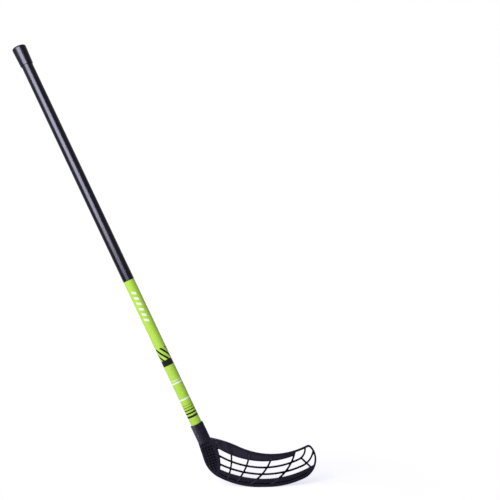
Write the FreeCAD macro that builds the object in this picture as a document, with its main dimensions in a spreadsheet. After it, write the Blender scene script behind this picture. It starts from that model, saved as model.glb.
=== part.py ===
import FreeCAD, Part
import math
import os

import Sketcher

# A floorball stick standing on the flat of its sole, with the shaft leaning back over the heel.
# The origin is the middle of that flat. +X runs from heel to toe, +Z is up, and the shaft's axis lies in
# the plane Y = 0. The blade hooks towards +Y. Lengths are in millimetres, angles in degrees.
# A height on the shaft is measured along its axis, from the lower end of the socket.

SIZES = [
    # Shaft
    ("shaft_lean", 25.3, "angle of the shaft from the vertical"),
    ("tube_od", 24.7, "outside diameter of the shaft tube"),
    ("tube_wall", 2.0, "wall of the shaft tube"),
    ("tube_length", 989.4, "length of the shaft tube"),
    ("film_wall", 0.2, "thickness of the printed sleeve"),
    ("film_length", 362.0, "length of the printed sleeve, between the socket and the grip sleeve"),
    ("film_gap", 0.3, "gap at each end of the printed sleeve"),
    ("grip_wall", 0.7, "thickness of the grip sleeve, which runs on to the top of the tube"),
    ("grip_edge", 0.4, "rounding of the lower edge of the grip sleeve"),
    ("sleeve_fit", 0.02, "radial gap between the tube and the sleeves on it"),
    # End cap
    ("cap_length", 45.6, "length of the end cap"),
    ("cap_wall", 1.58, "wall of the end cap at its mouth"),
    ("cap_flare", 1.8, "growth of the end cap's radius from its mouth to its top"),
    ("cap_crown", 6.0, "thickness of the top of the end cap"),
    ("cap_rounding", 4.0, "rounding of the top edge of the end cap"),
    ("cap_lip", 0.6, "rounding of the mouth of the end cap"),
    ("cap_fit", 0.05, "radial gap between the end cap and the grip sleeve"),
    ("plug_length", 30.0, "length of the plug inside the tube"),
    ("plug_wall", 2.5, "wall of the plug"),
    ("plug_fit", 0.05, "radial gap between the plug and the tube"),
    # Socket of the blade
    ("socket_setback", 6.45, "distance from the rear of the heel to the middle of the socket's lower end"),
    ("socket_z", 101.8, "height of the middle of the socket's lower end"),
    ("socket_wall", 2.55, "wall of the socket"),
    ("socket_length", 47.6, "length of the socket"),
    ("socket_floor", 5.0, "floor of the socket, under the tube"),
    ("socket_lip", 0.8, "rounding of the mouth of the socket"),
    ("socket_foot", 3.0, "rounding of the lower end of the socket"),
    ("socket_fit", 0.05, "radial gap between the socket and the tube"),
    # Screws of the socket
    ("screw_height", 16.0, "height of the lower screw on the shaft"),
    ("screw_pitch", 20.0, "distance between the two screws"),
    ("screw_od", 3.0, "diameter of the screw's shank"),
    ("screw_length", 10.0, "length of the screw under its head"),
    ("screw_point", 3.0, "length of the screw's point"),
    ("screw_head_od", 6.5, "diameter of the screw's head"),
    ("screw_head", 2.2, "height of the screw's head"),
    ("screw_dome", 1.2, "rounding of the screw's head"),
    ("drive_width", 1.0, "width of the slots of the cross drive"),
    ("drive_span", 3.8, "length of the slots of the cross drive"),
    ("drive_depth", 1.3, "depth of the cross drive"),
    ("screw_fit", 0.1, "radial gap between a screw and its holes"),
    ("seat_fit", 0.45, "radial gap between a screw's head and the wall of its flat seat"),
    ("seat_depth", 0.7, "depth of the flat seat below the socket's side"),
    # Outline of the blade, seen from the side
    ("sole_flat", 20.0, "length of the flat of the sole"),
    ("sole_heel_radius", 200.0, "radius of the sole towards the heel"),
    ("sole_toe_radius", 230.0, "radius of the sole towards the toe"),
    ("heel_reach", 139.2, "distance of the heel's round from the origin"),
    ("heel_radius", 67.5, "radius of the heel"),
    ("toe_reach", 123.0, "distance of the toe from the origin"),
    ("toe_radius", 45.0, "radius of the toe"),
    ("toe_tip_radius", 9.0, "radius of the top of the toe"),
    ("top_low_x", 23.0, "place of the lowest point of the top edge"),
    ("top_low_z", 75.0, "height of the lowest point of the top edge"),
    ("top_radius", 192.0, "radius of the hollow of the top edge"),
    ("neck_radius", 230.0, "radius of the top edge where it rises to the socket"),
    ("neck_rise", 4.0, "height on the shaft where the blade's edges meet the socket"),
    # Window of the blade, whose long edges are arcs with their lowest points over one place
    ("window_mid_x", 3.5, "place of the lowest points of the window's long edges"),
    ("floor_z", 17.9, "height of the lower edge of the window"),
    ("floor_radius", 252.0, "radius of the lower edge of the window"),
    ("top_rim", 16.2, "distance of the upper edge of the window below the lowest point of the top edge"),
    ("roof_radius", 208.0, "radius of the upper edge of the window"),
    ("heel_width", 41.2, "distance from the rear of the heel to the window"),
    ("back_z", 50.0, "height where the rear edge is upright"),
    ("back_radius", 103.0, "radius of the rear edge of the window"),
    ("window_corner", 2.0, "rounding of the window's corners"),
    ("step_corner", 3.0, "rounding of the top rim's corner where it steps up to the toe's rim"),
    ("toe_rim", 4.2, "width of the rim around the toe"),
    # Ribs in the window
    ("low_rib_x", 3.5, "place of the lowest point of the lower long rib"),
    ("low_rib_z", 29.0, "height of the lower long rib"),
    ("low_rib_radius", 241.0, "radius of the lower long rib"),
    ("low_rib_toe_gap", 7.5, "distance of the lower long rib from the toe where it turns up"),
    ("low_rib_toe_radius", 40.0, "radius of the lower long rib where it turns up"),
    ("high_rib_x", 1.5, "place of the lowest point of the upper long rib"),
    ("high_rib_z", 44.3, "height of the upper long rib"),
    ("high_rib_radius", 208.0, "radius of the upper long rib"),
    ("high_rib_toe_gap", 26.7, "distance of the upper long rib from the toe where it turns up"),
    ("high_rib_toe_radius", 24.0, "radius of the upper long rib where it turns up"),
    ("rib_width", 3.8, "width of the ribs, seen from the side"),
    ("rib_level", 40.0, "height at which the places and leans of the cross ribs are given"),
    ("rib_bow", 105.0, "radius of the cross ribs, which lean less towards the top"),
    ("rib_1_x", -75.3, "place of the first cross rib"),
    ("rib_1_lean", 12.4, "lean of the first cross rib"),
    ("rib_2_x", -42.1, "place of the second cross rib"),
    ("rib_2_lean", 25.3, "lean of the second cross rib"),
    ("rib_3_x", 5.7, "place of the third cross rib"),
    ("rib_3_lean", 34.5, "lean of the third cross rib"),
    ("rib_4_x", 55.7, "place of the fourth cross rib"),
    ("rib_4_lean", 35.7, "lean of the fourth cross rib"),
    ("strut_toe_gap", 21.5, "distance of the middle of the strut from the toe"),
    ("strut_z", 49.0, "height of the middle of the strut in the toe"),
    ("strut_lean", -45.0, "lean of the strut in the toe"),
    ("strut_length", 40.0, "length of the strut in the toe"),
    ("cell_corner", 1.2, "rounding of the corners between the ribs"),
    # Thickness of the blade
    ("hook_start", -20.0, "place where the hook starts"),
    ("hook_radius", 420.0, "radius of the hook"),
    ("rim_thick", 8.5, "thickness of the rim and the sole"),
    ("rib_thick", 5.0, "thickness of the ribs"),
    ("rim_rounding", 2.4, "rounding of the outer edges of the rim"),
    ("window_rounding", 1.2, "rounding of the rim's edges round the window"),
    ("rib_rounding", 0.8, "rounding of the ribs' edges"),
    ("heel_flare_z", 36.0, "height from which the heel thickens towards the socket"),
    ("heel_flare_radius", 700.0, "radius of that thickening"),
    ("neck_flare_x", -52.0, "place from which the top edge thickens towards the socket"),
    ("neck_flare_radius", 380.0, "radius of that thickening"),
    # Relief on both faces of the blade
    ("groove_rise", 8.8, "distance of the groove in the sole from the lower edge"),
    ("groove_width", 2.4, "width of the groove in the sole"),
    ("groove_depth", 1.8, "depth of the groove in the sole"),
    ("groove_heel_gap", 38.7, "distance from the rear of the heel to the groove in the sole"),
    ("groove_toe_gap", 22.0, "distance from the groove in the sole to the toe"),
    ("tick_width", 3.0, "width of the low bars that carry the cross ribs over the rim"),
    ("tick_height", 0.5, "height of those bars over the rim"),
    ("tick_gap", 0.4, "distance of those bars from the rounding round the window"),
    ("recess_depth", 0.8, "depth of the recesses in the top rim"),
    ("recess_top_border", 5.0, "border between a recess and the top edge"),
    ("recess_low_border", 3.5, "border between a recess and the window"),
    ("recess_rib_border", 2.2, "border between a recess and a cross rib's bar"),
    ("recess_corner", 2.0, "rounding of a recess"),
    ("recess_heel_gap", 43.7, "distance from the rear of the heel to the first recess"),
    ("waffle_pitch", 6.4, "distance between the pockets of the heel"),
    ("waffle_pocket", 4.4, "side of a pocket of the heel"),
    ("waffle_depth", 1.2, "depth of a pocket of the heel"),
    ("waffle_edge_border", 5.5, "border between the pockets and the heel's edge"),
    ("waffle_window_border", 8.0, "border between the pockets and the window"),
    ("waffle_socket_border", 8.0, "border between the pockets and the socket"),
    ("waffle_sole_border", 24.0, "height of the lowest pockets"),
]

# Reach of the construction shapes, which only has to pass the blade on every side
FAR = 400.0
# Distance within which an edge counts as lying on a line
NEAR = 0.001

doc = FreeCAD.newDocument("floorball_stick")
sheet = doc.addObject("Spreadsheet::Sheet", "Sizes")
for row, (alias, value, note) in enumerate(SIZES, start=1):
    sheet.set(f"A{row}", note)
    sheet.set(f"B{row}", str(value))
    sheet.setAlias(f"B{row}", alias)
doc.recompute()


def size(alias):
    return float(sheet.get(alias))


# Side view: points are complex numbers, X + Z * 1j, and faces lie in the plane Y = 0.


def at(point):
    return FreeCAD.Vector(point.real, 0, point.imag)


def unit(vector):
    return vector / abs(vector)


def heading(lean):
    """The way up of something that leans towards the toe by an angle."""
    return complex(math.sin(math.radians(lean)), math.cos(math.radians(lean)))


def touch(centre, radius, other):
    """The point of a circle that lies towards another centre."""
    return centre + radius * unit(other - centre)


def crossing(centre_a, radius_a, centre_b, radius_b):
    """Where two circles cross, on the left of the way from a to b."""
    span = abs(centre_b - centre_a)
    along = (span**2 + radius_a**2 - radius_b**2) / (2 * span)
    return centre_a + unit(centre_b - centre_a) * complex(along, math.sqrt(radius_a**2 - along**2))


def nested(outer, outer_radius, radius, x):
    """Centre, at a given X, of a circle that touches the inside of a larger one low down."""
    drop = math.sqrt((outer_radius - radius) ** 2 - (x - outer.real) ** 2)
    return complex(x, outer.imag - drop)


def line(start, end):
    return Part.LineSegment(at(start), at(end)).toShape()


def arc(centre, start, end):
    """The shorter arc about a centre."""
    middle = centre + abs(start - centre) * unit(start + end - 2 * centre)
    return Part.Arc(at(start), at(middle), at(end)).toShape()


def face(edges):
    return Part.Face(Part.Wire(edges))


def disc(centre, radius):
    return face([Part.Circle(at(centre), FreeCAD.Vector(0, -1, 0), radius).toShape()])


def polygon(*corners):
    return face([line(start, end) for start, end in zip(corners, corners[1:] + corners[:1])])


def bar(middle, way, length, width):
    """A rectangle about a middle, along a way."""
    along = way * length / 2
    across = way * 1j * width / 2
    low, high = middle - along, middle + along
    return polygon(low - across, high - across, high + across, low + across)


def zone(low_x, high_x, low_z, high_z):
    """An upright rectangle."""
    return polygon(
        complex(low_x, low_z), complex(high_x, low_z), complex(high_x, high_z), complex(low_x, high_z)
    )


def softened(flat, radius):
    """A face with its outward corners rounded."""
    return flat.makeOffset2D(-radius).makeOffset2D(radius)


def prism(flat):
    """A face of the side view drawn out across the blade."""
    moved = flat.translated(FreeCAD.Vector(0, -FAR, 0))
    return moved.extrude(FreeCAD.Vector(0, 2 * FAR, 0))


def edges_on(solid, wire):
    """The edges that follow a wire of the side view on the blade's two faces."""
    found = []
    for edge in solid.Edges:
        half_way = (edge.FirstParameter + edge.LastParameter) / 2
        middle = edge.valueAt(half_way)
        runs_across = abs(edge.tangentAt(half_way).y) > 1 - NEAR
        seen = Part.Vertex(FreeCAD.Vector(middle.x, 0, middle.z))
        if not runs_across and seen.distToShape(wire)[0] < NEAR:
            found.append(edge)
    return found


# Shaft's axis
heel_x = -size("heel_reach")
toe_x = size("toe_reach")
tube_radius = size("tube_od") / 2
socket_radius = tube_radius + size("socket_fit") + size("socket_wall")
socket_base = complex(heel_x + size("socket_setback"), size("socket_z"))
shaft_way = heading(-size("shaft_lean"))


def on_shaft(height):
    """Placement with +Z along the shaft, at a height on it."""
    turn = FreeCAD.Rotation(FreeCAD.Vector(0, 1, 0), -size("shaft_lean"))
    return FreeCAD.Placement(at(socket_base + height * shaft_way), turn)


def across_shaft(height, offset):
    """Placement with +X along the shaft and +Z along the part's +Y, offset from the axis that way."""
    turn = FreeCAD.Rotation(at(shaft_way), FreeCAD.Vector(), FreeCAD.Vector(0, 1, 0), "ZXY")
    return FreeCAD.Placement(at(socket_base + height * shaft_way) + FreeCAD.Vector(0, offset, 0), turn)


# Outline of the blade: arcs that run into each other, closed by a line inside the socket.
heel_corner = socket_base + shaft_way * complex(size("neck_rise"), socket_radius)
neck_corner = socket_base + shaft_way * complex(size("neck_rise"), -socket_radius)
neck_line = line(neck_corner, heel_corner)
flat_heel = complex(-size("sole_flat") / 2, 0)
flat_toe = complex(size("sole_flat") / 2, 0)
sole_heel_radius = size("sole_heel_radius")
sole_heel = flat_heel + 1j * sole_heel_radius
sole_toe_radius = size("sole_toe_radius")
sole_toe = flat_toe + 1j * sole_toe_radius
heel_radius = size("heel_radius")
heel = nested(sole_heel, sole_heel_radius, heel_radius, heel_x + heel_radius)
heel_turn = math.acos(heel_radius / abs(heel_corner - heel))
heel_back = heel + heel_radius * unit(heel_corner - heel) * complex(math.cos(heel_turn), math.sin(heel_turn))
toe_radius = size("toe_radius")
toe = nested(sole_toe, sole_toe_radius, toe_radius, toe_x - toe_radius)
top_radius = size("top_radius")
top = complex(size("top_low_x"), size("top_low_z") + top_radius)
tip_radius = size("toe_tip_radius")
tip = crossing(top, top_radius + tip_radius, toe, toe_radius - tip_radius)
neck_radius = size("neck_radius")
neck = crossing(top, top_radius + neck_radius, neck_corner, neck_radius)


def blade_outline():
    heel_sole = touch(sole_heel, sole_heel_radius, heel)
    toe_sole = touch(sole_toe, sole_toe_radius, toe)
    tip_toe = touch(toe, toe_radius, tip)
    tip_top = touch(top, top_radius, tip)
    neck_top = touch(top, top_radius, neck)
    return face([
        line(heel_corner, heel_back),
        arc(heel, heel_back, heel_sole),
        arc(sole_heel, heel_sole, flat_heel),
        line(flat_heel, flat_toe),
        arc(sole_toe, flat_toe, toe_sole),
        arc(toe, toe_sole, tip_toe),
        arc(tip, tip_toe, tip_top),
        arc(top, tip_top, neck_top),
        arc(neck, neck_top, neck_corner),
        neck_line,
    ])


outline = blade_outline()


def inset(border):
    return outline.makeOffset2D(-border)


# Window and ribs of the blade
window_mid_x = size("window_mid_x")
window_back_x = heel_x + size("heel_width")
floor_centre = complex(window_mid_x, size("floor_z") + size("floor_radius"))
roof_centre = complex(window_mid_x, size("top_low_z") - size("top_rim") + size("roof_radius"))


def above_floor():
    """What lies over the lower edge of the window."""
    return disc(floor_centre, size("floor_radius"))


def above_roof(border):
    """What lies over the upper edge of the window, and a border."""
    return disc(roof_centre, size("roof_radius") - border)


def behind_window(border):
    """What lies behind the rear edge of the window, and a border."""
    back_radius = size("back_radius")
    return disc(complex(window_back_x - back_radius, size("back_z")), back_radius - border)


def cross_rib_centre(number):
    middle = complex(size(f"rib_{number}_x"), size("rib_level"))
    return middle + heading(size(f"rib_{number}_lean")) * 1j * size("rib_bow")


def ahead_of(centre, radius):
    """What lies on the toe's side of a round, from its lowest point to its highest."""
    return zone(centre.real, FAR, -FAR, FAR).cut(disc(centre, radius))


def cross_ribs(width):
    """The cross ribs, each half a ring that runs past the blade at both ends."""
    halves = []
    for number in (1, 2, 3, 4):
        centre = cross_rib_centre(number)
        outer = disc(centre, size("rib_bow") + width / 2)
        halves.append(outer.common(ahead_of(centre, size("rib_bow") - width / 2)))
    return Part.makeCompound(halves)


def toe_side():
    """The part of the side view ahead of the middle of the last cross rib."""
    return ahead_of(cross_rib_centre(4), size("rib_bow"))


def long_rib(name):
    """A long rib: a low arc that starts inside the heel, then a tighter arc, then straight up past the rim."""
    radius = size(f"{name}_radius")
    centre = complex(size(f"{name}_x"), size(f"{name}_z") + radius)
    bend_radius = size(f"{name}_toe_radius")
    bend = nested(centre, radius, bend_radius, toe_x - size(f"{name}_toe_gap") - bend_radius)
    start_x = window_back_x - size("waffle_window_border") - centre.real
    start_way = unit(complex(start_x, -math.sqrt(radius**2 - start_x**2)))
    bend_way = unit(bend - centre)
    half = size("rib_width") / 2
    rise = complex(0, bend_radius)

    def side(offset):
        end = bend + bend_radius + offset
        return [centre + (radius + offset) * start_way, centre + (radius + offset) * bend_way, end, end + rise]

    low, high = side(half), side(-half)
    return face([
        arc(centre, low[0], low[1]),
        arc(bend, low[1], low[2]),
        line(low[2], low[3]),
        line(low[3], high[3]),
        line(high[3], high[2]),
        arc(bend, high[2], high[1]),
        arc(centre, high[1], high[0]),
        line(high[0], low[0]),
    ])


def window_face():
    """The opening of the blade. Its upper edge steps up to the thin rim of the toe at the last cross rib."""
    opening = inset(size("toe_rim")).common(above_floor()).cut(behind_window(0))
    thick_rim = above_roof(0).cut(toe_side()).Faces[0]
    return opening.cut(softened(thick_rim, size("step_corner"))).Faces[0]


window = window_face()


def cell_faces():
    """The openings between the ribs."""
    strut_middle = complex(toe_x - size("strut_toe_gap"), size("strut_z"))
    strut = bar(strut_middle, heading(size("strut_lean")), size("strut_length"), size("rib_width"))
    ribs = [cross_ribs(size("rib_width")), long_rib("low_rib"), long_rib("high_rib"), strut]
    cells = window.cut(Part.makeCompound(ribs))
    return [softened(cell, size("cell_corner")) for cell in cells.Faces]


# Layers that give the blade its thickness, each far larger than the blade in the other two directions.
def drawn_out(points, way):
    """A closed profile drawn out along a way. A run of three points in a tuple is an arc."""
    edges = []
    for run in points:
        curve = Part.Arc(*run) if len(run) == 3 else Part.LineSegment(*run)
        edges.append(curve.toShape())
    return Part.Face(Part.Wire(edges)).extrude(way)


def hooked_layer(thick):
    """The layer along the hook: straight, then an arc towards +Y."""
    radius = size("hook_radius")
    centre = FreeCAD.Vector(size("hook_start"), radius, -FAR)
    turn = math.asin(FAR / 2 / radius)

    def on_arc(reach, share):
        angle = share * turn
        return centre + FreeCAD.Vector(math.sin(angle), -math.cos(angle), 0) * reach

    near, far = radius + thick / 2, radius - thick / 2
    rear_near = FreeCAD.Vector(-FAR, -thick / 2, -FAR)
    rear_far = FreeCAD.Vector(-FAR, thick / 2, -FAR)
    profile = [
        (rear_near, on_arc(near, 0)),
        (on_arc(near, 0), on_arc(near, 0.5), on_arc(near, 1)),
        (on_arc(near, 1), on_arc(far, 1)),
        (on_arc(far, 1), on_arc(far, 0.5), on_arc(far, 0)),
        (on_arc(far, 0), rear_far),
        (rear_far, rear_near),
    ]
    return drawn_out(profile, FreeCAD.Vector(0, 0, 2 * FAR))


def flared_layer(thick, radius, lead, run, place, way):
    """A layer, flat for a lead, that then thickens along an arc. place(y, distance) gives its profile's points."""

    def side(sign):
        def swell(distance):
            return place(sign * (thick / 2 + radius - math.sqrt(radius**2 - distance**2)), distance)

        return [place(sign * thick / 2, -lead), swell(0), swell(run / 2), swell(run)]

    one, two = side(-1), side(1)
    profile = [
        (one[0], one[1]),
        (one[1], one[2], one[3]),
        (one[3], two[3]),
        (two[3], two[2], two[1]),
        (two[1], two[0]),
        (two[0], one[0]),
    ]
    return drawn_out(profile, way)


def heel_layer(thick):
    """The layer that thickens upwards in the heel, to inside the socket."""
    start = size("heel_flare_z")
    run = max(heel_corner.imag, neck_corner.imag) - start

    def place(y, distance):
        return FreeCAD.Vector(-FAR, y, start + distance)

    return flared_layer(thick, size("heel_flare_radius"), FAR, run, place, FreeCAD.Vector(2 * FAR, 0, 0))


def neck_layer(thick):
    """The layer that thickens along the top edge, from a short lead behind the hook to inside the socket."""
    start = size("neck_flare_x")
    lead = max((size("hook_start") - start) / 2, NEAR)
    run = start - socket_base.real

    def place(y, distance):
        return FreeCAD.Vector(start - distance, y, -FAR)

    return flared_layer(thick, size("neck_flare_radius"), lead, run, place, FreeCAD.Vector(0, 0, 2 * FAR))


# Body of the blade
def blade_body():
    """The rim, heel and neck, with the window open and the edges round."""
    thick = size("rim_thick")
    lip = size("window_rounding")
    opening = softened(window, size("window_corner"))
    rim = prism(outline.cut(opening)).common(hooked_layer(thick))
    rim = rim.makeFillet(lip, edges_on(rim, opening.OuterWire))
    heel_part = prism(outline.common(behind_window(lip))).common(heel_layer(thick))
    neck_face = outline.common(above_roof(lip)).common(zone(-FAR, size("neck_flare_x"), 0, FAR))
    neck_part = prism(neck_face).common(neck_layer(thick))
    body = rim.multiFuse([heel_part, neck_part]).removeSplitter()
    hidden = edges_on(body, neck_line)
    outer = [edge for edge in edges_on(body, outline.OuterWire) if not any(map(edge.isSame, hidden))]
    # The roundings of the thin rim round the toe have to leave a flat between them.
    widest = size("toe_rim") - lip - NEAR
    return body.makeFillet(min(size("rim_rounding"), widest), outer)


def blade_grid():
    """The ribs, on a thin plate that reaches into the rim."""
    cells = cell_faces()
    plate = inset(size("rim_rounding")).cut(Part.makeCompound(cells))
    grid = prism(plate).common(hooked_layer(size("rib_thick")))
    return grid.makeFillet(size("rib_rounding"), edges_on(grid, Part.makeCompound([c.OuterWire for c in cells])))


def rim_ticks():
    """Low bars that carry the cross ribs on over the rim."""
    bars = inset(size("groove_rise") - size("groove_width") / 2).common(cross_ribs(size("tick_width")))
    bars = bars.cut(window.makeOffset2D(size("window_rounding") + size("tick_gap")))
    return prism(bars).common(hooked_layer(size("rim_thick") + 2 * size("tick_height")))


# Relief on both faces of the blade
def relief(flat, depth, *layers):
    """What a recess of some depth takes off both faces, down to what lies in its layers."""
    left = [layer(size("rim_thick") - 2 * depth) for layer in layers]
    return prism(flat).cut(Part.makeCompound(left))


def sole_groove():
    """A groove along the sole, broken where the cross ribs' bars cross it."""
    rise = size("groove_rise")
    half = size("groove_width") / 2
    ring = inset(rise - half).cut(inset(rise + half)).cut(above_floor())
    strip = zone(heel_x + size("groove_heel_gap"), toe_x - size("groove_toe_gap"), 0, size("rib_level"))
    return relief(ring.common(strip).cut(cross_ribs(size("tick_width"))), size("groove_depth"), hooked_layer)


def top_recesses():
    """Recesses in the top rim, between the cross ribs' bars."""
    strip = outline.common(above_roof(size("recess_low_border")))
    strip = strip.cut(disc(top, top_radius + size("recess_top_border")))
    strip = strip.common(zone(heel_x + size("recess_heel_gap"), FAR, 0, FAR)).cut(toe_side())
    strip = strip.cut(cross_ribs(size("tick_width") + 2 * size("recess_rib_border")))
    panels = [softened(panel, size("recess_corner")) for panel in strip.Faces]
    return relief(Part.makeCompound(panels), size("recess_depth"), hooked_layer, neck_layer)


def heel_waffle():
    """Square pockets in the heel, in rows along its rear edge. The ones at the border are cut by it."""
    side = size("waffle_pocket")
    pitch = size("waffle_pitch")
    panel = inset(size("waffle_edge_border")).common(behind_window(size("waffle_window_border")))
    under_socket = socket_base - (size("waffle_socket_border") + FAR / 2) * shaft_way
    panel = panel.common(bar(under_socket, shaft_way, FAR, FAR))
    panel = panel.common(zone(-FAR, FAR, size("waffle_sole_border"), FAR))
    way = unit(heel_corner - heel_back)
    count = math.ceil(panel.BoundBox.DiagonalLength / pitch)
    pockets = []
    for row in range(-count, count + 1):
        for column in range(-count, count + 1):
            pockets.append(bar(heel_back + way * complex(row, column) * pitch, way, side, side))
    cut_pockets = Part.makeCompound(pockets).common(panel)
    smallest = side**2 / 3
    kept = [pocket for pocket in cut_pockets.Faces if pocket.Area > smallest]
    return relief(Part.makeCompound(kept), size("waffle_depth"), heel_layer)


# Turned pieces: sketches whose corners are tied to expressions of the sizes.
def origin_plane(body, role):
    return next(feature for feature in body.Origin.OriginFeatures if feature.Role == role)


def new_sketch(body, name, role):
    sketch = body.newObject("Sketcher::SketchObject", name)
    sketch.AttachmentSupport = [(origin_plane(body, role), "")]
    sketch.MapMode = "FlatFace"
    return sketch


def tie(sketch, geometry, position, place):
    """Ties a point of a sketch to two expressions, or to an axis where one is 0."""
    for kind, axis, expression in zip(("DistanceX", "DistanceY"), (-2, -1), place):
        if expression == "0":
            sketch.addConstraint(Sketcher.Constraint("PointOnObject", geometry, position, axis))
        else:
            value = float(sketch.evalExpression(expression))
            number = sketch.addConstraint(Sketcher.Constraint(kind, -1, 1, geometry, position, value))
            sketch.setExpression(f"Constraints[{number}]", expression)


def corner_sketch(body, name, role, corners):
    """A closed sketch of straight lines."""
    sketch = new_sketch(body, name, role)
    points = [FreeCAD.Vector(*(float(sketch.evalExpression(e)) for e in corner), 0) for corner in corners]
    for start, end in zip(points, points[1:] + points[:1]):
        sketch.addGeometry(Part.LineSegment(start, end))
    for index, corner in enumerate(corners):
        before = (index - 1) % len(corners)
        sketch.addConstraint(Sketcher.Constraint("Coincident", before, 2, index, 1))
        tie(sketch, index, 1, corner)
    return sketch


def turned_body(name, corners):
    """A body turned about its Z axis from (radius, height) corners."""
    body = doc.addObject("PartDesign::Body", name)
    sketch = corner_sketch(body, f"{name}_profile", "XZ_Plane", corners)
    turning = body.newObject("PartDesign::Revolution", f"{name}_turning")
    turning.Profile = sketch
    turning.ReferenceAxis = (sketch, ["V_Axis"])
    turning.Angle = 360
    doc.recompute()
    return body


def round_edge(body, name, corner, radius):
    """Rounds the circular edge at a (radius, height) corner of a turned body."""
    base = body.Tip
    reach, height = (float(base.evalExpression(expression)) for expression in corner)

    def lies_there(edge):
        middle = edge.BoundBox.Center
        wide = edge.BoundBox.XLength / 2
        return edge.BoundBox.ZLength < NEAR and abs(middle.z - height) < NEAR and abs(wide - reach) < NEAR

    names = [f"Edge{number}" for number, edge in enumerate(base.Shape.Edges, start=1) if lies_there(edge)]
    rounding = body.newObject("PartDesign::Fillet", f"{body.Name}_{name}")
    rounding.Base = (base, names)
    rounding.setExpression("Radius", radius)
    doc.recompute()


TUBE_RADIUS = "Sizes.tube_od / 2"
TUBE_BORE = f"({TUBE_RADIUS} - Sizes.tube_wall)"
SLEEVE_BORE = f"({TUBE_RADIUS} + Sizes.sleeve_fit)"
SOCKET_RADIUS = f"({TUBE_RADIUS} + Sizes.socket_fit + Sizes.socket_wall)"
SCREW_HOLE = "(Sizes.screw_od / 2 + Sizes.screw_fit)"


def shaft_tube():
    """The tube, with a hole in its far side for each screw."""
    body = turned_body("shaft_tube", [
        (TUBE_BORE, "0"),
        (TUBE_RADIUS, "0"),
        (TUBE_RADIUS, "Sizes.tube_length"),
        (TUBE_BORE, "Sizes.tube_length"),
    ])
    sketch = new_sketch(body, "tube_hole_place", "XZ_Plane")
    height = "Sizes.screw_height - Sizes.socket_floor"
    middle = FreeCAD.Vector(0, float(sketch.evalExpression(height)), 0)
    sketch.addGeometry(Part.Circle(middle, FreeCAD.Vector(0, 0, 1), size("screw_od") / 2))
    tie(sketch, 0, 3, ("0", height))
    number = sketch.addConstraint(Sketcher.Constraint("Radius", 0, size("screw_od") / 2))
    sketch.setExpression(f"Constraints[{number}]", SCREW_HOLE)
    hole = body.newObject("PartDesign::Pocket", "tube_hole")
    hole.Profile = sketch
    hole.setExpression("Length", "Sizes.tube_od")
    doc.recompute()
    holes = body.newObject("PartDesign::LinearPattern", "tube_holes")
    holes.Originals = [hole]
    holes.Direction = (sketch, ["V_Axis"])
    holes.setExpression("Length", "Sizes.screw_pitch")
    holes.Occurrences = 2
    body.Tip = holes
    body.Placement = on_shaft(size("socket_floor"))
    return body


def sleeve(name, wall, length, height):
    """A sleeve on the tube."""
    outside = f"{SLEEVE_BORE} + {wall}"
    body = turned_body(name, [(SLEEVE_BORE, "0"), (outside, "0"), (outside, length), (SLEEVE_BORE, length)])
    body.Placement = on_shaft(float(body.evalExpression(height)))
    return body


FILM_HEIGHT = "(Sizes.socket_length + Sizes.film_gap)"
GRIP_HEIGHT = f"({FILM_HEIGHT} + Sizes.film_length + Sizes.film_gap)"


def shaft_film():
    return sleeve("shaft_film", "Sizes.film_wall", "Sizes.film_length", FILM_HEIGHT)


def grip_sleeve():
    length = f"Sizes.socket_floor + Sizes.tube_length - {GRIP_HEIGHT}"
    body = sleeve("grip_sleeve", "Sizes.grip_wall", length, GRIP_HEIGHT)
    round_edge(body, "edge", (f"{SLEEVE_BORE} + Sizes.grip_wall", "0"), "Sizes.grip_edge")
    return body


def end_cap():
    """A flared cap over the grip sleeve, with a hollow plug inside the tube. Its top sits on the tube's end."""
    bore = f"({SLEEVE_BORE} + Sizes.grip_wall + Sizes.cap_fit)"
    mouth = f"{bore} + Sizes.cap_wall"
    crown = f"{mouth} + Sizes.cap_flare"
    seat = "(Sizes.cap_length - Sizes.cap_crown)"
    plug = f"({TUBE_BORE} - Sizes.plug_fit)"
    plug_bore = f"{plug} - Sizes.plug_wall"
    plug_end = f"{seat} - Sizes.plug_length"
    body = turned_body("end_cap", [
        (bore, "0"),
        (mouth, "0"),
        (crown, "Sizes.cap_length"),
        ("0", "Sizes.cap_length"),
        ("0", seat),
        (plug_bore, seat),
        (plug_bore, plug_end),
        (plug, plug_end),
        (plug, seat),
        (bore, seat),
    ])
    round_edge(body, "rounding", (crown, "Sizes.cap_length"), "Sizes.cap_rounding")
    round_edge(body, "lip", (mouth, "0"), "Sizes.cap_lip")
    body.Placement = on_shaft(size("socket_floor") + size("tube_length") + size("cap_crown") - size("cap_length"))
    return body


def screw_heights():
    return [size("screw_height") + number * size("screw_pitch") for number in (0, 1)]


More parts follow.
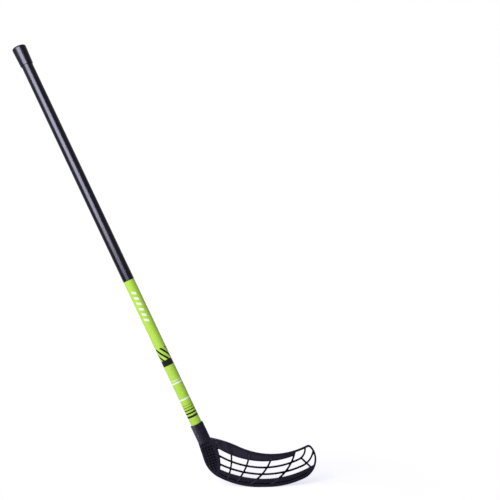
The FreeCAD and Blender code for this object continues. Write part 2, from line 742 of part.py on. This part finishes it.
def screw(number, height):
    """A screw with a domed head and a cross drive. Its head's underside lies in its Z = 0 plane."""
    name = f"blade_screw_{number}"
    shank, head = "Sizes.screw_od / 2", "Sizes.screw_head_od / 2"
    body = turned_body(name, [
        ("0", "-Sizes.screw_length"),
        (shank, "Sizes.screw_point - Sizes.screw_length"),
        (shank, "0"),
        (head, "0"),
        (head, "Sizes.screw_head"),
        ("0", "Sizes.screw_head"),
    ])
    round_edge(body, "dome", (head, "Sizes.screw_head"), "Sizes.screw_dome")
    narrow, wide = "Sizes.drive_width / 2", "Sizes.drive_span / 2"
    quarter = [(wide, narrow), (narrow, narrow), (narrow, wide)]
    corners = []
    for sign_x, sign_y, way in ((1, 1, 1), (-1, 1, -1), (-1, -1, 1), (1, -1, -1)):
        for x, y in quarter[::way]:
            corners.append((x if sign_x > 0 else f"-{x}", y if sign_y > 0 else f"-{y}"))
    sketch = corner_sketch(body, f"{name}_cross", "XY_Plane", corners)
    sketch.setExpression("AttachmentOffset.Base.z", "Sizes.screw_head")
    drive = body.newObject("PartDesign::Pocket", f"{name}_drive")
    drive.Profile = sketch
    drive.setExpression("Length", "Sizes.drive_depth")
    body.Placement = across_shaft(height, socket_radius - size("seat_depth"))
    return body


def blade_screws():
    group = doc.addObject("Part::Compound", "blade_screws")
    group.Links = [screw(number, height) for number, height in enumerate(screw_heights(), start=1)]
    return group


def cylinder(name, radius, length, placement):
    shape = doc.addObject("Part::Cylinder", name)
    shape.setExpression("Radius", radius)
    shape.setExpression("Height", length)
    shape.Placement = placement
    return shape


def blade():
    """One moulding: the bladed part, fused with the socket, with the socket's bore and screw holes cut."""
    panel = doc.addObject("Part::Feature", "blade_panel")
    cuts = [sole_groove(), top_recesses(), heel_waffle()]
    panel.Shape = blade_body().cut(Part.makeCompound(cuts)).multiFuse([blade_grid(), rim_ticks()])

    socket = turned_body("blade_socket", [
        ("0", "0"),
        (SOCKET_RADIUS, "0"),
        (SOCKET_RADIUS, "Sizes.socket_length"),
        ("0", "Sizes.socket_length"),
    ])
    round_edge(socket, "foot", (SOCKET_RADIUS, "0"), "Sizes.socket_foot")
    round_edge(socket, "lip", (SOCKET_RADIUS, "Sizes.socket_length"), "Sizes.socket_lip")
    socket.Placement = on_shaft(0)

    whole = doc.addObject("Part::MultiFuse", "blade_whole")
    whole.Shapes = [panel, socket]

    bore_radius = f"{TUBE_RADIUS} + Sizes.socket_fit"
    tools = [cylinder("socket_bore", bore_radius, "Sizes.socket_length", on_shaft(size("socket_floor")))]
    seat_radius = "Sizes.screw_head_od / 2 + Sizes.seat_fit"
    for number, height in enumerate(screw_heights(), start=1):
        tools.append(cylinder(f"screw_hole_{number}", SCREW_HOLE, SOCKET_RADIUS, across_shaft(height, 0)))
        seat = across_shaft(height, socket_radius - size("seat_depth"))
        tools.append(cylinder(f"screw_seat_{number}", seat_radius, "Sizes.screw_head", seat))
    holes = doc.addObject("Part::MultiFuse", "socket_holes")
    holes.Shapes = tools

    piece = doc.addObject("Part::Cut", "blade")
    piece.Base = whole
    piece.Tool = holes
    return piece


pieces = [shaft_tube(), shaft_film(), grip_sleeve(), end_cap(), blade(), blade_screws()]
doc.recompute()

failed = [thing.Name for thing in doc.Objects if {"Invalid", "Error"} & set(thing.State)]
assert not failed, failed
for piece in pieces:
    assert not piece.Shape.isNull() and piece.Shape.isValid(), piece.Label

os.makedirs("parts", exist_ok=True)
for piece in pieces:
    piece.Shape.exportStep(f"parts/{piece.Label}.step")
    print(f"{piece.Label}: {len(piece.Shape.Solids)} solids, {piece.Shape.Volume:.1f} mm3")
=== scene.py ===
import math

import bpy
from mathutils import Matrix, Vector


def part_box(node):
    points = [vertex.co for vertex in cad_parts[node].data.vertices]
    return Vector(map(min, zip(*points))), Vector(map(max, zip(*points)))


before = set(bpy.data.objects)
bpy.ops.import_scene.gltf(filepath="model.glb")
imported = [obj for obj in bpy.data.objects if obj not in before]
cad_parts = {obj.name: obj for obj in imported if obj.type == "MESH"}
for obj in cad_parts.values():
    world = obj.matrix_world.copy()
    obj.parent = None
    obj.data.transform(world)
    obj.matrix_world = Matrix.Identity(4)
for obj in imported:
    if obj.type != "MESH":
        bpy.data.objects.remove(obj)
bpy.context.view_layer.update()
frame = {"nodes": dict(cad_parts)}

MM = 0.001

# The shaft's axis, as the part's source has it
LEAN = math.radians(25.3)
SOCKET_BASE = Vector((-132.75, 0, 101.8)) * MM
SHAFT_WAY = Vector((-math.sin(LEAN), 0, math.cos(LEAN)))
ACROSS_WAY = Vector((math.cos(LEAN), 0, math.sin(LEAN)))
FRONT_WAY = Vector((0, -1, 0))

# Most of a noise lies between these values
NOISE_LOW, NOISE_HIGH = 0.3, 0.7

# The places of the colour sockets on a mix node: the share, the two colours and the result
MIX_INPUTS, MIX_OUTPUT = (0, 6, 7), 2


class Tree:
    """A node tree, with short ways to add the nodes that the materials share."""

    def __init__(self, owner):
        owner.use_nodes = True
        self.nodes = owner.node_tree.nodes
        self.links = owner.node_tree.links
        self.nodes.clear()

    def add(self, kind, inputs=None, **settings):
        node = self.nodes.new(kind)
        for name, value in settings.items():
            setattr(node, name, value)
        for key, value in (inputs or {}).items():
            self.put(node.inputs[key], value)
        return node

    def put(self, socket, value):
        """Links a socket to another one, or sets its value."""
        if isinstance(value, bpy.types.NodeSocket):
            self.links.new(value, socket)
        else:
            socket.default_value = value

    def math(self, operation, *values):
        node = self.add("ShaderNodeMath", operation=operation)
        for socket, value in zip(node.inputs, values):
            self.put(socket, value)
        return node.outputs[0]

    def dot(self, vector, way):
        node = self.add("ShaderNodeVectorMath", {0: vector, 1: way}, operation="DOT_PRODUCT")
        return node.outputs["Value"]

    def place(self):
        """Position in the part's frame, in metres."""
        return self.add("ShaderNodeTexCoord").outputs["Object"]

    def noise(self, scale, detail=2.0, roughness=0.5):
        """A noise through the part, with its scale in steps to a metre."""
        inputs = {"Vector": self.place(), "Scale": scale, "Detail": detail, "Roughness": roughness}
        return self.add("ShaderNodeTexNoise", inputs).outputs["Fac"]

    def mix(self, share, first, second):
        """A mix of two colours, whose sockets share their names with others and go by their places."""
        node = self.add("ShaderNodeMix", data_type="RGBA")
        for place, value in zip(MIX_INPUTS, (share, first, second)):
            self.put(node.inputs[place], value)
        return node.outputs[MIX_OUTPUT]

    def remap(self, value, low, high, to_low=0.0, to_high=1.0):
        names = ("Value", "From Min", "From Max", "To Min", "To Max")
        node = self.add("ShaderNodeMapRange", dict(zip(names, (value, low, high, to_low, to_high))))
        return node.outputs["Result"]

    def stretch(self, noise, to_low=0.0, to_high=1.0):
        """A noise that fills a range."""
        return self.remap(noise, NOISE_LOW, NOISE_HIGH, to_low, to_high)

    def band(self, value, low, high, soft):
        """1 between two values, with soft edges."""
        rise = self.remap(value, low - soft, low + soft)
        fall = self.remap(value, high - soft, high + soft, 1.0, 0.0)
        return self.math("MULTIPLY", rise, fall)

    def either(self, *shares):
        """The largest of some shares."""
        whole = shares[0]
        for share in shares[1:]:
            whole = self.math("MAXIMUM", whole, share)
        return whole

    def bump(self, height, distance, normal=None):
        node = self.add("ShaderNodeBump", {"Height": height, "Distance": distance, "Strength": 1.0})
        if normal is not None:
            self.put(node.inputs["Normal"], normal)
        return node.outputs["Normal"]

    def shader(self, **inputs):
        """The principled shader, wired to the output. Its inputs have _ for the spaces in their names."""
        named = {key.replace("_", " "): value for key, value in inputs.items()}
        shader = self.add("ShaderNodeBsdfPrincipled", named)
        self.add("ShaderNodeOutputMaterial", {"Surface": shader.outputs["BSDF"]})


def new_material(name):
    material = bpy.data.materials.new(name)
    return material, Tree(material)


def linear(red, green, blue):
    """A colour given as it looks on a screen, 0 to 255, turned back by the screen's own curve."""
    def one(value):
        value /= 255
        return value / 12.92 if value <= 0.04045 else ((value + 0.055) / 1.055) ** 2.4

    return (one(red), one(green), one(blue), 1.0)


def shaft_coordinates(tree):
    """Height on the shaft in millimetres, and the angle round it in turns, 0 at the front."""
    offset = tree.add("ShaderNodeVectorMath", {0: tree.place(), 1: SOCKET_BASE}, operation="SUBTRACT")
    offset = offset.outputs["Vector"]
    height = tree.math("MULTIPLY", tree.dot(offset, SHAFT_WAY), 1 / MM)
    across = tree.dot(offset, ACROSS_WAY)
    near = tree.dot(offset, FRONT_WAY)
    turn = tree.math("DIVIDE", tree.math("ARCTAN2", across, near), 2 * math.pi)
    return height, turn


# The grip and the end cap
SATIN_IOR = 1.22
SATIN_TINT = (0.77, 0.76, 1.0, 1.0)
SATIN_GRAIN_DEPTH = 0.012 * MM
SMEAR_SCALE = 55.0
SMEAR_LESS_ROUGH, SMEAR_MORE_ROUGH = 0.02, 0.03
GRIP = {"dark": linear(7, 6, 11), "light": linear(11, 10, 16), "roughness": 0.27, "grain_scale": 900.0}
CAP = {"dark": linear(5, 5, 9), "light": linear(9, 8, 13), "roughness": 0.28, "grain_scale": 1100.0}


def satin_black(name, dark, light, roughness, grain_scale):
    """Smooth black plastic or rubber: a fine grain, and faint smears in colour and gloss."""
    material, tree = new_material(name)
    smear = tree.noise(SMEAR_SCALE, detail=4.0)
    grain = tree.noise(grain_scale, detail=3.0, roughness=0.65)
    tree.shader(
        Base_Color=tree.mix(tree.stretch(smear), dark, light),
        Roughness=tree.stretch(smear, roughness - SMEAR_LESS_ROUGH, roughness + SMEAR_MORE_ROUGH),
        IOR=SATIN_IOR,
        Specular_Tint=SATIN_TINT,
        Normal=tree.bump(grain, SATIN_GRAIN_DEPTH),
    )
    return material


# The blade's faces, in millimetres, as the part's source has them
HOOK_START, HOOK_RADIUS = -20.0, 420.0
HALF_THICK = 4.25
HEEL_FLARE_Z, HEEL_FLARE_RADIUS = 36.0, 700.0
NECK_FLARE_X, NECK_FLARE_RADIUS = -52.0, 380.0
ROOF_CENTRE, ROOF_RADIUS = (3.5, 0.0, 266.8), 208.0

# What lies behind this place, just ahead of the window's rear edge, counts as heel
HEEL_FRONT_X = -95.5

# What lies at which depth below those faces, in millimetres, and what counts as facing front or back
RECESS_DEPTHS, RECESS_EDGE = (0.6, 0.9), 0.03
POCKET_DEPTHS = (0.87, 0.93)
BAR_DEPTHS, BAR_EDGE = (-0.6, -0.4), 0.05
WEAR_AND_HIGHLIGHT_DEPTHS = (-0.3, 0.3)
FACING_FADE = (0.86, 0.92)

# The blade's plastic
BLADE_DARK, BLADE_LIGHT = linear(28, 26, 36), linear(33, 31, 42)
# Painted sheen: recess floors lighter than the rim face
RECESS_PAINTED_SHEEN = linear(43, 41, 53)
# Painted shade: pocket and groove floors near black
POCKET_PAINTED_SHADE = linear(3, 3, 6)
# Painted highlight: raised bars lighter than the rim face
BAR_PAINTED_HIGHLIGHT = linear(52, 50, 62)
# Wear and painted highlight: lighter patches where the plastic stands proud
WEAR_AND_HIGHLIGHT_COLOUR = linear(78, 75, 88)
WEAR_AND_HIGHLIGHT_SHARE = 0.5
WEAR_AND_HIGHLIGHT_FADE = (0.5, 0.72)
FLOW_SCALE, BLADE_GRAIN_SCALE, WEAR_AND_HIGHLIGHT_SCALE = 18.0, 1500.0, 420.0
BLADE_GRAIN_DEPTH = 0.05 * MM
BLADE_ROUGHNESS = (0.42, 0.54)
BLADE_IOR = 1.12
BLADE_TINT = (0.85, 0.84, 1.0, 1.0)


def depth_in_blade(tree):
    """How far a point lies below the blade's face, in millimetres: 0 on the rim and more in a pocket."""
    scaled = tree.add("ShaderNodeVectorMath", {0: tree.place(), "Scale": 1 / MM}, operation="SCALE")
    x, y, z = tree.add("ShaderNodeSeparateXYZ", {0: scaled.outputs[0]}).outputs

    # The middle of the blade is straight as far as the hook, and follows its arc from there
    ahead = tree.math("MAXIMUM", tree.math("SUBTRACT", x, HOOK_START), 0.0)
    inward = tree.math("SUBTRACT", HOOK_RADIUS, y)
    squares = tree.math("ADD", tree.math("POWER", ahead, 2.0), tree.math("POWER", inward, 2.0))
    reach = tree.math("SQRT", squares)
    from_middle = tree.math("ABSOLUTE", tree.math("SUBTRACT", HOOK_RADIUS, reach))

    def flare(distance, radius):
        """How far a flare has swelled, a distance from its start."""
        square = tree.math("POWER", tree.math("MAXIMUM", distance, 0.0), 2.0)
        return tree.math("DIVIDE", square, 2 * radius)

    # The heel swells upwards, and the top rim swells towards the socket
    heel = flare(tree.math("SUBTRACT", z, HEEL_FLARE_Z), HEEL_FLARE_RADIUS)
    neck = flare(tree.math("SUBTRACT", NECK_FLARE_X, x), NECK_FLARE_RADIUS)
    flat = tree.add("ShaderNodeCombineXYZ", {"X": x, "Z": z}).outputs[0]
    from_roof = tree.add("ShaderNodeVectorMath", {0: flat, 1: ROOF_CENTRE}, operation="DISTANCE")
    over_window = tree.math("LESS_THAN", from_roof.outputs["Value"], ROOF_RADIUS)
    in_heel = tree.math("LESS_THAN", x, HEEL_FRONT_X)
    on_neck = tree.math("MULTIPLY", over_window, tree.math("SUBTRACT", 1.0, in_heel))
    swell = tree.math("ADD", tree.math("MULTIPLY", in_heel, heel), HALF_THICK)
    swell = tree.math("ADD", swell, tree.math("MULTIPLY", on_neck, neck))
    return tree.math("SUBTRACT", swell, from_middle)


def moulded_plastic(name):
    """The blade's plastic: an even grain, painted shade in pockets and groove, painted sheen on recess
    floors, painted highlight on raised bars, and wear with a painted highlight where it stands proud.
    """
    material, tree = new_material(name)
    depth = depth_in_blade(tree)
    normal = tree.add("ShaderNodeTexCoord").outputs["Normal"]
    sideways = tree.math("ABSOLUTE", tree.add("ShaderNodeSeparateXYZ", {0: normal}).outputs["Y"])
    facing = tree.remap(sideways, *FACING_FADE)
    # Painted sheen on recess floors
    recess_sheen = tree.math("MULTIPLY", facing, tree.band(depth, *RECESS_DEPTHS, RECESS_EDGE))
    # Painted shade in pockets and groove
    pocket = tree.math("MULTIPLY", facing, tree.remap(depth, *POCKET_DEPTHS))
    # Painted highlight on raised bars
    bar_highlight = tree.math("MULTIPLY", facing, tree.band(depth, *BAR_DEPTHS, BAR_EDGE))

    flow = tree.stretch(tree.noise(FLOW_SCALE, detail=3.0))
    grain = tree.noise(BLADE_GRAIN_SCALE, detail=3.0, roughness=0.7)
    # Wear and a painted highlight where it stands proud, in patches
    proud = tree.remap(depth, *WEAR_AND_HIGHLIGHT_DEPTHS, 1.0, 0.0)
    worn = tree.remap(tree.noise(WEAR_AND_HIGHLIGHT_SCALE, detail=4.0), *WEAR_AND_HIGHLIGHT_FADE)
    wear_and_highlight = tree.math("MULTIPLY", proud, worn)
    colour = tree.mix(flow, BLADE_DARK, BLADE_LIGHT)
    colour = tree.mix(recess_sheen, colour, RECESS_PAINTED_SHEEN)
    colour = tree.mix(pocket, colour, POCKET_PAINTED_SHADE)
    colour = tree.mix(bar_highlight, colour, BAR_PAINTED_HIGHLIGHT)
    colour = tree.mix(tree.math("MULTIPLY", wear_and_highlight, WEAR_AND_HIGHLIGHT_SHARE), colour, WEAR_AND_HIGHLIGHT_COLOUR)
    tree.shader(
        Base_Color=colour,
        Roughness=tree.stretch(grain, *BLADE_ROUGHNESS),
        IOR=BLADE_IOR,
        Specular_Tint=BLADE_TINT,
        Normal=tree.bump(grain, BLADE_GRAIN_DEPTH),
    )
    return material


# The print on the lower sleeve, in millimetres, with heights on the shaft
film_low, film_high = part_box("shaft_film")
FILM_ROUND = math.pi * (film_high.y - film_low.y) / MM
PRINT_EDGE = 0.15
WHITE_BARS = {"lowest": 308.0, "pitch": 13.5, "count": 6, "tall": 6.0, "half_width": 5.0, "slant": 0.55}
BLACK_RING = (196.0, 210.0)
BLACK_BARS = {"low": 210.0, "high": 240.0, "pitch": 12.7, "wide": 5.6, "slant": 0.7}
WHITE_RINGS = ((109.5, 113.0), (150.5, 154.0), (158.0, 159.4))
DARK_RINGS = ((66.0, 71.0), (75.0, 78.6), (83.0, 85.4), (90.0, 91.4), (96.0, 96.8))

# The lower sleeve's film
LIME_DARK, LIME_LIGHT = linear(174, 216, 77), linear(181, 222, 84)
WHITE_INK = linear(238, 243, 232)
BLACK_INK = linear(22, 25, 20)
INK_THICK = 0.03 * MM
SEAM_COLOUR = linear(90, 118, 40)
SEAM_SHARE = 0.25
SEAM_FADE = (0.496, 0.498)
MOTTLE_SCALE, RIPPLE_SCALE = 30.0, 500.0
RIPPLE_DEPTH = 0.006 * MM
FILM_ROUGHNESS = (0.36, 0.42)
FILM_IOR = 1.22


def white_print(tree, height, reach):
    """Slanted bars, in a column at the front and one at the back, and rings below them."""
    half_round = FILM_ROUND / 2
    lowest, pitch, half_width = WHITE_BARS["lowest"], WHITE_BARS["pitch"], WHITE_BARS["half_width"]
    from_column = tree.math("PINGPONG", reach, half_round / 2)
    sided = tree.math("WRAP", reach, half_round / 2, -half_round / 2)
    in_column = tree.remap(from_column, half_width - PRINT_EDGE, half_width + PRINT_EDGE, 1.0, 0.0)
    slanted = tree.math("ADD", height, tree.math("MULTIPLY", sided, WHITE_BARS["slant"]))
    step = tree.math("FLOORED_MODULO", tree.math("SUBTRACT", slanted, lowest), pitch)
    bars = tree.math(
        "MULTIPLY",
        tree.band(step, 0.0, WHITE_BARS["tall"], PRINT_EDGE),
        tree.band(slanted, lowest, lowest + pitch * WHITE_BARS["count"], PRINT_EDGE),
    )
    bars = tree.math("MULTIPLY", bars, in_column)
    return tree.either(bars, *(tree.band(height, *ring, PRINT_EDGE) for ring in WHITE_RINGS))


def black_print(tree, height, reach):
    """A broad ring with slanted bars on top of it, and rings near the socket that thin out upwards."""
    leaning = tree.math("ADD", reach, tree.math("MULTIPLY", height, BLACK_BARS["slant"]))
    step = tree.math("FLOORED_MODULO", leaning, BLACK_BARS["pitch"])
    bars = tree.math(
        "MULTIPLY",
        tree.band(step, 0.0, BLACK_BARS["wide"], PRINT_EDGE),
        tree.band(height, BLACK_BARS["low"], BLACK_BARS["high"], PRINT_EDGE),
    )
    rings = (BLACK_RING, *DARK_RINGS)
    return tree.either(bars, *(tree.band(height, *ring, PRINT_EDGE) for ring in rings))


def printed_film(name):
    """A smooth lime sleeve, with plain rings and slanted bars printed on it and a seam at the back."""
    material, tree = new_material(name)
    height, turn = shaft_coordinates(tree)
    reach = tree.math("MULTIPLY", turn, FILM_ROUND)
    mottle = tree.noise(MOTTLE_SCALE, detail=3.0)
    white = white_print(tree, height, reach)
    black = black_print(tree, height, reach)
    seam = tree.remap(tree.math("ABSOLUTE", turn), *SEAM_FADE)
    colour = tree.mix(tree.stretch(mottle), LIME_DARK, LIME_LIGHT)
    colour = tree.mix(white, colour, WHITE_INK)
    colour = tree.mix(black, colour, BLACK_INK)
    colour = tree.mix(tree.math("MULTIPLY", seam, SEAM_SHARE), colour, SEAM_COLOUR)
    raised = tree.math("ADD", tree.math("MAXIMUM", white, black), seam)
    ripple = tree.bump(tree.noise(RIPPLE_SCALE), RIPPLE_DEPTH)
    tree.shader(
        Base_Color=colour,
        Roughness=tree.stretch(mottle, *FILM_ROUGHNESS),
        IOR=FILM_IOR,
        Normal=tree.bump(raised, INK_THICK, normal=ripple),
    )
    return material


# The tube, whose wrap is in radians to a millimetre of height and to a turn
WRAP_CLIMB, WRAP_TURN = 2.5, 60.0
TUBE_DARK, TUBE_LIGHT = linear(30, 30, 34), linear(46, 46, 52)
TUBE_ROUGHNESS = (0.28, 0.36)
TUBE_IOR = 1.5


def composite_tube(name):
    """Dark fibre composite with a fine spiral wrap."""
    material, tree = new_material(name)
    height, turn = shaft_coordinates(tree)
    climb = tree.math("MULTIPLY", height, WRAP_CLIMB)
    wrap = tree.math("SINE", tree.math("ADD", climb, tree.math("MULTIPLY", turn, WRAP_TURN)))
    tree.shader(
        Base_Color=tree.mix(tree.remap(wrap, -1.0, 1.0), TUBE_DARK, TUBE_LIGHT),
        Roughness=tree.remap(wrap, -1.0, 1.0, *TUBE_ROUGHNESS),
        IOR=TUBE_IOR,
    )
    return material


# The screws
STEEL_DARK, STEEL_LIGHT = linear(150, 152, 158), linear(196, 198, 203)
STEEL_ROUGHNESS = (0.26, 0.42)
MARKS_SCALE = 2600.0
MARKS_DEPTH = 0.02 * MM


def plated_steel(name):
    """Zinc-plated steel, with fine marks."""
    material, tree = new_material(name)
    marks = tree.noise(MARKS_SCALE, detail=3.0)
    tree.shader(
        Base_Color=tree.mix(marks, STEEL_DARK, STEEL_LIGHT),
        Metallic=1.0,
        Roughness=tree.stretch(marks, *STEEL_ROUGHNESS),
        Normal=tree.bump(marks, MARKS_DEPTH),
    )
    return material


MATERIALS = {
    "shaft_tube": composite_tube("fibre_composite"),
    "shaft_film": printed_film("printed_film"),
    "grip_sleeve": satin_black("grip_satin", **GRIP),
    "end_cap": satin_black("cap_rubber", **CAP),
    "blade": moulded_plastic("moulded_plastic"),
    "blade_screws": plated_steel("plated_steel"),
}
for node_name, node_material in MATERIALS.items():
    node_mesh = frame["nodes"][node_name].data
    node_mesh.materials.clear()
    node_mesh.materials.append(node_material)


# The floor, in metres: its colour, how bright that comes out under the lamps, and the white of its own,
# whose share grows from the first to the second between two distances from the origin
FLOOR_HALF = 6.0
FLOOR_COLOUR = (0.86, 0.85, 0.9, 1.0)
FLOOR_LIT = 0.465
OWN_WHITE = (1.0, 1.0, 1.08, 1.0)
OWN_SHARES = (0.29, 1.0)
OWN_DISTANCES = (0.2, 0.45)

# The world: its white, and the soft light that it gives
WORLD_WHITE = (1.0, 1.0, 1.0, 1.0)
WORLD_TINT = (0.96, 0.95, 1.0, 1.0)
WORLD_LEVEL = 0.22


def seen_share(tree):
    """1 for the rays that show the background: from the camera, in gloss and through glass."""
    path = tree.add("ShaderNodeLightPath").outputs
    return tree.either(path["Is Camera Ray"], path["Is Glossy Ray"], path["Is Transmission Ray"])


def make_floor():
    """White all over. Near the object it shows shadows, and further out its white is its own."""
    half = FLOOR_HALF
    mesh = bpy.data.meshes.new("floor")
    corners = [(-half, -half, 0), (half, -half, 0), (half, half, 0), (-half, half, 0)]
    mesh.from_pydata(corners, [], [(0, 1, 2, 3)])
    floor = bpy.data.objects.new("floor", mesh)
    bpy.context.scene.collection.objects.link(floor)

    # Where the lamps light it in full, its two shares add up to white
    material, tree = new_material("floor_white")
    away = tree.add("ShaderNodeVectorMath", {0: tree.place()}, operation="LENGTH").outputs["Value"]
    own = tree.remap(away, *OWN_DISTANCES, *OWN_SHARES)
    lit = tree.math("MULTIPLY", tree.math("SUBTRACT", 1.0, own), FLOOR_LIT)
    strength = tree.math("DIVIDE", tree.math("SUBTRACT", 1.0, lit), own)
    pale = tree.add("ShaderNodeBsdfDiffuse", {"Color": FLOOR_COLOUR}).outputs[0]
    white = tree.add("ShaderNodeEmission", {"Color": OWN_WHITE, "Strength": strength}).outputs[0]
    share = tree.math("MULTIPLY", seen_share(tree), own)
    blend = tree.add("ShaderNodeMixShader", {0: share, 1: pale, 2: white}).outputs[0]
    tree.add("ShaderNodeOutputMaterial", {"Surface": blend})
    mesh.materials.append(material)


def make_world():
    world = bpy.data.worlds.new("studio")
    bpy.context.scene.world = world
    tree = Tree(world)
    soft = tree.add("ShaderNodeBackground", {"Color": WORLD_TINT, "Strength": WORLD_LEVEL}).outputs[0]
    white = tree.add("ShaderNodeBackground", {"Color": WORLD_WHITE, "Strength": 1.0}).outputs[0]
    blend = tree.add("ShaderNodeMixShader", {0: seen_share(tree), 1: soft, 2: white}).outputs[0]
    tree.add("ShaderNodeOutputWorld", {"Surface": blend})


# The lamps, in metres and watts
KEY = {"size": (0.7, 0.7), "power": 6.5, "place": (-1.4, -0.5, 1.1), "target": (-0.1, 0, 0.05)}
FILL = {"size": (1.5, 1.5), "power": 42.5, "place": (-1.1, -1.95, 1.35), "target": (-0.3, 0, 0.4)}
BACK = {"size": (1.5, 1.5), "power": 22.0, "place": (-1.3, 1.9, 1.5), "target": (-0.3, 0, 0.4)}
GLOW = {"size": (0.35, 0.35), "power": 19.0, "place": (-0.45, -0.08, 0.02), "target": (-0.155, 0, 0.15)}
STRIP = {"size": (2.5, 1.25), "power": 525.0}
STRIP_UP, STRIP_LEFT, STRIP_AHEAD = 1.25, 0.45, 2.2


def soft_box(name, size, power):
    light = bpy.data.lights.new(name, "AREA")
    light.shape = "RECTANGLE"
    light.size, light.size_y = size
    light.energy = power
    lamp = bpy.data.objects.new(name, light)
    bpy.context.scene.collection.objects.link(lamp)
    return lamp


def aimed_box(name, size, power, place, target):
    lamp = soft_box(name, size, power)
    way = Vector(target) - Vector(place)
    lamp.location = place
    lamp.rotation_euler = way.to_track_quat("-Z", "Y").to_euler()
    return lamp


def shine_on(lamp, names):
    """Shades a lamp off from all but some nodes."""
    lit = bpy.data.collections.new(lamp.name + "_lit")
    for name in names:
        lit.objects.link(frame["nodes"][name])
    lamp.light_linking.receiver_collection = lit


def make_strip():
    """The highlight on grip and cap: a lamp that leans with the shaft, in front of it, for gloss only."""
    strip = soft_box("strip", **STRIP)
    strip.visible_diffuse = False
    middle = SOCKET_BASE + STRIP_UP * SHAFT_WAY - STRIP_LEFT * ACROSS_WAY + STRIP_AHEAD * FRONT_WAY
    turn = Matrix((ACROSS_WAY, SHAFT_WAY, FRONT_WAY)).transposed()
    strip.matrix_world = Matrix.Translation(middle) @ turn.to_4x4()
    shine_on(strip, ("grip_sleeve", "end_cap"))


def make_lights():
    aimed_box("key", **KEY)
    aimed_box("fill", **FILL)
    make_strip()
    # A weak box behind keeps the back from going dull, and adds no gloss along the edges
    back = aimed_box("back", **BACK)
    back.visible_glossy = False
    shine_on(back, frame["nodes"])
    # The gloss on the left of the blade's socket, from below
    glow = aimed_box("glow", **GLOW)
    glow.visible_diffuse = False
    shine_on(glow, ("blade",))


# The camera, in metres, with its sensor in millimetres and its picture in pixels
CAMERA_AWAY = 2.05
CAMERA_X, CAMERA_Z = -30.6 * MM, 542.1 * MM
CAMERA_REACH = 50.0
SENSOR = 36.0
PICTURE = 500
PIXEL_AT_SHAFT = 2.288 * MM


def make_camera():
    """Level, so that the plane of the shaft keeps one scale over the picture."""
    camera = bpy.data.cameras.new("camera")
    camera.sensor_width = SENSOR
    camera.lens = SENSOR * CAMERA_AWAY / PIXEL_AT_SHAFT / PICTURE
    camera.clip_end = CAMERA_REACH
    holder = bpy.data.objects.new("camera", camera)
    holder.location = (CAMERA_X, -CAMERA_AWAY, CAMERA_Z)
    holder.rotation_euler = (math.pi / 2, 0, 0)
    bpy.context.scene.collection.objects.link(holder)
    bpy.context.scene.camera = holder


make_floor()
make_world()
make_lights()
make_camera()
bpy.context.scene.view_settings.view_transform = "Standard"
